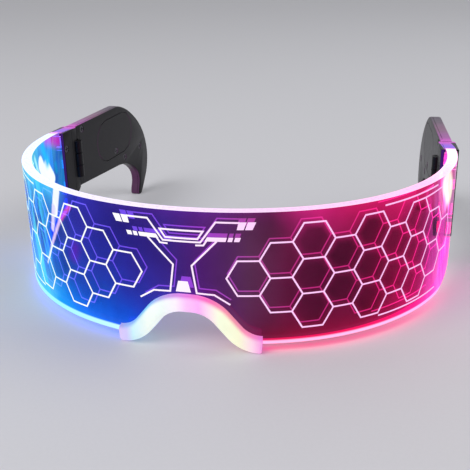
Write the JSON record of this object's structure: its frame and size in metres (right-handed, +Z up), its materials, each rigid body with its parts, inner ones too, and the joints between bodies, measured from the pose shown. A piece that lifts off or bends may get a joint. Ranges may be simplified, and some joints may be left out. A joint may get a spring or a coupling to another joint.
{
  "type": "light up party glasses",
  "caption": "Wrap-around clear visor lit through its ends by lights in black folding temple arms, with an engraved hexagon pattern and a soft nose pad.",
  "frame": {"origin": "middle of the overall box, on the surface that the glasses stand on", "axes": "+Z up, +Y towards the back of the wearer's head, +X to the wearer's left"},
  "size_m": [0.1624, 0.1694, 0.049],
  "materials": {
    "visor_acrylic": "clear cast acrylic, polished, laser engraved, carrying blue light at the wearer's right and pink light at the wearer's left",
    "pad_silicone": "translucent white silicone, satin",
    "black_plastic": "black moulded plastic, satin to gloss",
    "screw_steel": "plated steel",
    "cell_steel": "nickel-plated cell case",
    "contact_brass": "sprung brass leaf",
    "circuit_board": "solder-masked circuit board",
    "led_blue": "lit blue light-emitting chip",
    "led_pink": "lit pink light-emitting chip"
  },
  "bodies": {
    "front": {"visor_lens": "visor_acrylic", "nose_pad": "pad_silicone", "right_lens_clamp": "black_plastic", "right_clamp_cover": "black_plastic", "right_clamp_screw_upper": "screw_steel", "right_clamp_screw_lower": "screw_steel", "right_led_board": "circuit_board", "right_led_lower": "led_blue", "right_led_middle": "led_blue", "right_led_upper": "led_blue", "right_hinge_pin": "screw_steel", "left_lens_clamp": "black_plastic", "left_clamp_cover": "black_plastic", "left_clamp_screw_upper": "screw_steel", "left_clamp_screw_lower": "screw_steel", "left_led_board": "circuit_board", "left_led_lower": "led_pink", "left_led_middle": "led_pink", "left_led_upper": "led_pink", "left_hinge_pin": "screw_steel"},
    "right_temple": {"right_temple_shell": "black_plastic", "right_temple_cover": "black_plastic", "right_temple_screw_upper": "screw_steel", "right_temple_screw_lower": "screw_steel", "right_temple_screw_hook": "screw_steel", "right_battery_door": "black_plastic", "right_door_screw": "screw_steel", "right_cell_front": "cell_steel", "right_cell_rear": "cell_steel", "right_cell_contact_minus": "contact_brass", "right_cell_contact_plus": "contact_brass", "right_control_board": "circuit_board", "right_tact_switch": "screw_steel"},
    "left_temple": {"left_temple_shell": "black_plastic", "left_temple_cover": "black_plastic", "left_temple_screw_upper": "screw_steel", "left_temple_screw_lower": "screw_steel", "left_temple_screw_hook": "screw_steel", "left_battery_door": "black_plastic", "left_door_screw": "screw_steel", "left_cell_front": "cell_steel", "left_cell_rear": "cell_steel", "left_cell_contact_minus": "contact_brass", "left_cell_contact_plus": "contact_brass", "left_control_board": "circuit_board", "left_tact_switch": "screw_steel"},
    "right_button": {"right_push_button": "black_plastic"},
    "left_button": {"left_push_button": "black_plastic"}
  },
  "joints": [
    {"name": "right_temple_fold", "type": "hinge", "parent": "front", "child": "right_temple", "pos_m": [-0.07422, 0.01077, 0.03423], "axis": [0, 0.0275, -0.9996], "range_deg": [0, 90]},
    {"name": "right_button_press", "type": "slide", "parent": "right_temple", "child": "right_button", "axis": [0.9966, -0.0823, -0.0023], "range_m": [0, 0.0004], "stiffness_N_per_m": 2000},
    {"name": "left_temple_fold", "type": "hinge", "parent": "front", "child": "left_temple", "pos_m": [0.07422, 0.01077, 0.03423], "axis": [0, -0.0275, 0.9996], "range_deg": [0, 90]},
    {"name": "left_button_press", "type": "slide", "parent": "left_temple", "child": "left_button", "axis": [-0.9966, -0.0823, -0.0023], "range_m": [0, 0.0004], "stiffness_N_per_m": 2000}
  ]
}
